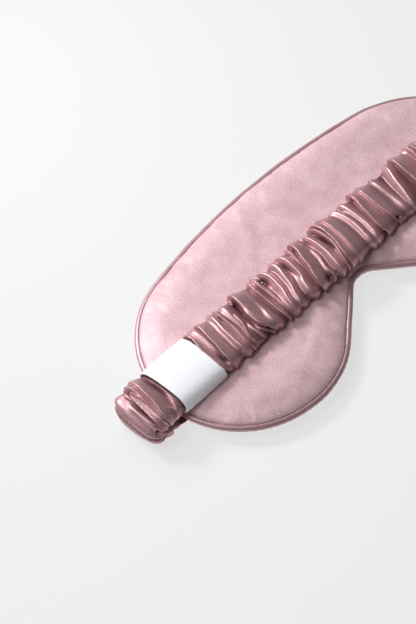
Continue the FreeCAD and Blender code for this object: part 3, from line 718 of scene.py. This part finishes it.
def section():
    """The cover without ruffles: across and out at each angle round it, and the outward direction."""
    c, s = np.cos(angle), np.sin(angle)
    across = HALF_WIDTH * np.sign(c) * np.abs(c) ** 0.8
    out = WAIST + np.where(s > 0, TOP_RISE, UNDER_DROP) * np.sign(s) * np.abs(s) ** 0.62
    side = np.sign(c) * np.clip((np.abs(across) - HALF_WIDTH * 0.55) / (HALF_WIDTH * 0.45), 0, 1) ** 1.6
    normal = np.stack([side, np.sign(s) * np.abs(s) ** 0.8], axis=-1)
    return across, out, normal / np.linalg.norm(normal, axis=-1)[:, None]


def ruffled():
    """Height of the ruffles and their lean, at every row along and angle round the cover."""
    total = np.full((len(along0), AROUND), 1e-9)
    leaning = np.zeros_like(total)
    for places, heights, (left, right, lean) in ruffles:
        low = (places[0] + places[5]) / 2
        line = round_tube([*places, low, places[0]])
        tall = round_tube([*heights, np.mean(heights) * 0.8, heights[0]]) / 10
        t = outside0[:, None] - outer_length(line)[None, :]
        ridge = tall * np.exp(-np.abs(t / np.where(t < 0, left, right)) ** 1.6)
        share = ridge**RIDGE_SHARPNESS
        total += share
        leaning += share * lean
    height = total ** (1 / RIDGE_SHARPNESS)
    return RUFFLE_HEIGHT * height, leaning / total


def hollowed(height):
    """The same with the small hollows pressed in, deepest in their middle."""
    reach = 2 * math.pi * HOLLOW_RADIUS
    for place, station, length, width, depth in HOLLOWS:
        u = (along0[:, None] - place) / length
        v = (angle[None, :] - station * math.pi) * reach / (2 * math.pi) / width
        height = height - depth * np.exp(-(u**2) - v**2)
    return height


across0, out0, normal = section()
height, lean = ruffled()
height = hollowed(height)
waves = smooth_noise(41, 9.0, 12)(along0)[:, None] * np.cos(angle)[None, :] * 0.35
height = np.maximum(height + waves + 0.3 * smooth_noise(42, 14.0, 10)(along0)[:, None], DEEPEST)
print("cover", height.shape, "ruffle height", height.min(), height.max())


# %% Where the cover is held flat
def ease(t):
    """0 to 1 with soft ends."""
    t = np.clip(t, 0, 1)
    return t * t * (3 - 2 * t)


def calm(s):
    """How much of the ruffles shows at a distance along: none in the seam, little under the label."""
    middle, half = (label_low[0] + label_high[0]) / 2, (label_high[0] - label_low[0]) / 2
    under_label = ease((np.abs(s - middle) - half + 2.2) / 3.4)
    fold = 1 + 0.12 * np.exp(-(((np.abs(s) - FOLD_X - ARC / 2) / 6.0) ** 2))
    return ease((SEAM_S + 0.5 - np.abs(s)) / 9.0) * (0.15 + 0.85 * under_label) * fold


def bend_strap(along, across, out):
    """Takes points of the straight strap round the folds to where they lie, in millimetres."""
    along, across, out = np.broadcast_arrays(along, across, out)
    x, z, outward = strap_frame(along)
    return np.stack([x + outward[..., 0] * out, STRAP_Y + across, z + outward[..., 1] * out], axis=-1)


def cover_points():
    """Every point of the cover where it lies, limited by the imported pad's height and by the table.

    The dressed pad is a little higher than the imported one, so the cover sinks slightly into it.
    """
    show = calm(along0)[:, None] * height
    tightness = np.gradient(along0) / STEP
    along = along0[:, None] + lean * show * tightness[:, None]
    flat = ease((SEAM_S + 1.0 - np.abs(along0)) / 9.0)[:, None]
    tail = 0.7 * np.sin(angle)
    across = across0 * (1.15 - 0.15 * flat) + normal[:, 0] * show * 0.85
    out = tail + (out0 + normal[:, 1] * show - tail) * flat
    resting = face_high[2] + PAD_GAP - STRAP_Z
    lowest = np.where(np.abs(along) < FOLD_X, resting, LOWEST_IN_FOLD)
    out = -soft_limit(-out, -lowest, 0.3)
    turned = ease((np.abs(along) - FOLD_X - ARC * 0.45) / (ARC * 0.5))
    highest = LOW_Z - 0.2 + (1 - turned) * 6.0
    out = soft_limit(out, highest, 0.3)
    return bend_strap(along, across, out), along


cover, along = cover_points()
rows, columns = cover.shape[:2]
step_lengths = np.linalg.norm(np.diff(cover, axis=0), axis=2)
cloth_along = np.concatenate([np.zeros((1, columns)), np.cumsum(step_lengths, axis=0)]).mean(axis=1)
cloth = np.stack(np.broadcast_arrays(cloth_along[:, None], angle[None, :] * CLOTH_RADIUS), axis=-1)
print("cover box", cover.reshape(-1, 3).min(0), cover.reshape(-1, 3).max(0), "cloth length", cloth_along[-1])

# %% [markdown]
# ### Cutting the cover where it moves
# The middle of the strap goes in one piece with the strap's body, and the folds stay with the mask.
# The lengths between are cut apart but go with no body.
# The left slope starts just past the label, so the strap inside the label stays with it.
# The cover is one surface, cut into five meshes that share their edge rows, and each keeps the whole
# surface's normals so that no cut shows.

# %% Cover pieces
def surface_normals(points):
    """Normals of a grid that is closed across."""
    d_along = np.gradient(points, axis=0)
    d_across = (np.roll(points, -1, axis=1) - np.roll(points, 1, axis=1)) / 2
    n = np.cross(d_across, d_along)
    return n / np.maximum(np.linalg.norm(n, axis=-1), 1e-9)[..., None]


mean_along = along.mean(axis=1)
# Amount of painted crease shade at each point: more the further it lies below the ruffle tops.
crease_shade_amount = np.clip((0.74 * RUFFLE_HEIGHT - height) / (0.74 * RUFFLE_HEIGHT), 0, 1) ** 1.15
cover_normals = surface_normals(cover)
SLOPE_START = abs(label_high[0]) - 1.2
cut_places = (-SLOPE_START, -LIFT_X, LIFT_X, SLOPE_START)
cuts = [0] + [int(np.argmin(np.abs(mean_along - s))) for s in cut_places] + [rows - 1]
names = ["cover_left_fold", "cover_left_slope", "cover_middle", "cover_right_slope", "cover_right_fold"]
cover_pieces = []
for name, first, last in zip(names, cuts, cuts[1:]):
    part = cover[first : last + 1].reshape(-1, 3)
    part_cloth = cloth[first : last + 1].reshape(-1, 2)
    piece = make_piece(name, part, grid_faces(last - first + 1, columns, close_columns=True), part_cloth)
    piece.data.normals_split_custom_set_from_vertices(cover_normals[first : last + 1].reshape(-1, 3).tolist())
    # Each piece carries its amount of painted crease shade as a point attribute.
    depth = piece.data.attributes.new("crease_shade_amount", "FLOAT", "POINT")
    depth.data.foreach_set("value", crease_shade_amount[first : last + 1].astype(np.float32).ravel())
    piece.data.materials.append(STRAP_SATIN)
    around = np.roll(cover[first : last + 1], -1, axis=1) - cover[first : last + 1]
    cover_pieces.append(piece)
left_fold, left_slope, middle, right_slope, right_fold = cover_pieces


def follow_slope(piece):
    """Bakes the piece's placement into its mesh; the piece goes with no body."""
    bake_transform(piece)


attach(left_fold, "mask")
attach(right_fold, "mask")
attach(middle, "strap")
follow_slope(left_slope)
follow_slope(right_slope)
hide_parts("left_strap_end_cover")
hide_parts("left_strap_end_cover")
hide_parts("right_strap_end_cover")
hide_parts("right_strap_end_cover")
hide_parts("strap_cover")

# %% [markdown]
# ## Elastic
# Inside the cover runs a flat braided elastic, sewn in at both seams. Braid shows rows of fine ribs along its
# length, so the band's two faces are ribbed, and it is cut and moved exactly as the cover is.

# %% Elastic bands
ELASTIC_RIBS = 12
ELASTIC_SHARE = 0.86


def elastic_strip(name, first, last, node):
    """A ribbed flat band along the strap's path, from one distance along to another."""
    places = np.linspace(first, last, max(2, int(abs(last - first) / 1.2)) + 1)
    steps = np.linspace(-1, 1, ELASTIC_RIBS * 4 + 1)
    rib = 0.5 + 0.5 * np.cos(2 * math.pi * steps * ELASTIC_RIBS / 2)
    half_thick = ELASTIC_T / 2 * (0.72 + 0.28 * rib)
    across = ELASTIC_W / 2 * ELASTIC_SHARE * np.concatenate([steps, steps[::-1]])
    out = np.concatenate([half_thick, -half_thick[::-1]])
    grid = bend_strap(places[:, None], across[None, :], out[None, :])
    faces = grid_faces(len(places), len(across), close_columns=True)
    faces.append(tuple(range(len(across)))[::-1])
    faces.append(tuple(range((len(places) - 1) * len(across), len(places) * len(across))))
    coordinates = np.stack(np.broadcast_arrays(places[:, None], across[None, :]), axis=-1).reshape(-1, 2)
    piece = make_piece(name, grid.reshape(-1, 3), faces, coordinates)
    piece.data.materials.append(ELASTIC_KNIT)
    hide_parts(node)
    return piece


middle_elastic = elastic_strip("elastic_middle", LIFT_X, -LIFT_X, "strap_elastic")
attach(middle_elastic, "strap")
for side, word in ((-1, "left"), (1, "right")):
    start, node = side * SLOPE_START, f"{word}_strap_end_elastic"
    slope_elastic = elastic_strip(f"elastic_{word}_slope", start, side * LIFT_X, node)
    fold_elastic = elastic_strip(f"elastic_{word}_fold", side * (TAIL_S - 2), start, node)
    follow_slope(slope_elastic)
    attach(fold_elastic, "mask")

# %% [markdown]
# ## Label
# The label is a plain white satin ribbon that wraps round the strap and is caught to the mask underneath. It
# is stiffer than the cover and lies over the ruffles with a smooth top and a round cheek side.

# %% Label band
def label_band():
    """The ribbon as a closed band with a thickness: grid of points outside, then back along its inside."""
    places = np.linspace(label_low[0], label_high[0], 60)
    share = (places - places[0]) / (places[-1] - places[0])
    swell = 0.16 * np.sin(share * math.pi) + 0.1 * smooth_noise(61, 11.0, 6)(places)
    sag = 0.12 * smooth_noise(62, 16.0, 6)(places)
    cast = np.outer(smooth_noise(63, 13.0, 6)(places), np.sin(angle * 2 + 0.6)) * 0.12
    outside = []
    for thick in (2.6, 2.15):
        grow = thick + swell[:, None] + cast
        across = across0 + normal[:, 0] * grow
        out = out0 + normal[:, 1] * (grow + sag[:, None])
        out = -soft_limit(-out, -(face_high[2] + 0.2 - STRAP_Z), 0.15)
        outside.append(bend_strap(places[:, None], across, out))
    return np.concatenate([outside[0], outside[1][::-1]]), places


band, label_places = label_band()
there_and_back = np.concatenate([label_places, label_places[::-1]])
band_cloth = np.stack(np.broadcast_arrays(there_and_back[:, None], angle[None, :] * CLOTH_RADIUS), axis=-1)
band_faces = grid_faces(len(band), AROUND, close_rows=True, close_columns=True)
label = make_piece("label", band.reshape(-1, 3), band_faces, band_cloth.reshape(-1, 2))
label.data.materials.append(LABEL_SATIN)
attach(label, "mask")
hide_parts("label_loop")

# %% [markdown]
# ## Inner pieces
# The wadding, the blackout lining, the piping's cord and the rows of stitches are hidden, so their plain packed
# shapes are enough, and they only get their cloth or yarn.

# %% Finishes of the inner pieces
INNER_FINISHES = {
    "face_wadding": WADDING,
    "front_wadding": WADDING,
    "blackout_lining": LINING,
    "piping_cord": CORD,
    "left_tack_stitches": ROSE_THREAD,
    "right_tack_stitches": ROSE_THREAD,
    "label_stitches": WHITE_THREAD,
}
for node, finish in INNER_FINISHES.items():
    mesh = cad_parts[node].data
    mesh.materials.clear()
    mesh.materials.append(finish)
print("inner pieces finished", len(INNER_FINISHES))

# %% [markdown]
# ## Floor, light and camera
# The mask lies on a plain pale table under two soft lights and a broad sun, with a faint even sky. The table
# glows, which lifts its shadows.

# %% Stage
TABLE_GLOW, TABLE_HALF_MM, SKY_STRENGTH = 0.66, 4000, 0.09


def table_paint():
    """A grey table that glows, so that only soft shadows show on it."""
    finish = Finish("table_paint")
    finish.surface(Base_Color=(0.20, 0.20, 0.20, 1), Roughness=0.9)
    return finish.surface(Emission_Color=(1.0, 1.0, 1.0, 1), Emission_Strength=TABLE_GLOW)


table_corners = [(x * TABLE_HALF_MM, y * TABLE_HALF_MM, 0) for x, y in ((-1, -1), (1, -1), (1, 1), (-1, 1))]
table = make_piece("table_top", table_corners, [(0, 1, 2, 3)])
table.location.z = -0.0001
table.data.materials.append(table_paint())

world = bpy.data.worlds.new("studio")
bpy.context.scene.world = world
world.use_nodes = True
world.node_tree.nodes["Background"].inputs["Color"].default_value = (1, 1, 1, 1)
world.node_tree.nodes["Background"].inputs["Strength"].default_value = SKY_STRENGTH


def aim(thing, position, target):
    """Places a light or camera and points it at the target."""
    thing.location = position
    thing.rotation_euler = (Vector(position) - Vector(target)).to_track_quat("Z", "Y").to_euler()


def softbox(name, position, target, size, watts):
    """A square soft light."""
    light = bpy.data.lights.new(name, "AREA")
    light.size = size
    light.energy = watts
    lamp = bpy.data.objects.new(name, light)
    bpy.context.scene.collection.objects.link(lamp)
    aim(lamp, position, target)


softbox("window", (-0.03, 0.21, 0.20), (-0.03, 0.04, 0), 0.15, 0.36)
softbox("overhead", (-0.27, 0.10, 0.45), (-0.04, 0.0, 0), 0.26, 0.95)
sun = bpy.data.lights.new("sky", "SUN")
sun.energy = 1.9
sun.angle = math.radians(12)
sky = bpy.data.objects.new("sky", sun)
bpy.context.scene.collection.objects.link(sky)
aim(sky, (-0.10, 0.80, 0.60), (0, 0, 0))

AZIMUTH, ELEVATION, DISTANCE = math.radians(-47.3), math.radians(52.2), 4.0
SENSOR_MM, VIEW_WIDTH = 36.0, 0.2649
target = Vector((-0.05815, 0.01698, 0.0052))
level = math.cos(ELEVATION)
toward = Vector((math.sin(AZIMUTH) * level, -math.cos(AZIMUTH) * level, math.sin(ELEVATION)))
lens = bpy.data.cameras.new("camera")
lens.lens = SENSOR_MM * DISTANCE / VIEW_WIDTH
camera = bpy.data.objects.new("camera", lens)
bpy.context.scene.collection.objects.link(camera)
aim(camera, target + DISTANCE * toward, target)
bpy.context.scene.camera = camera
bpy.context.scene.view_settings.view_transform = "Standard"
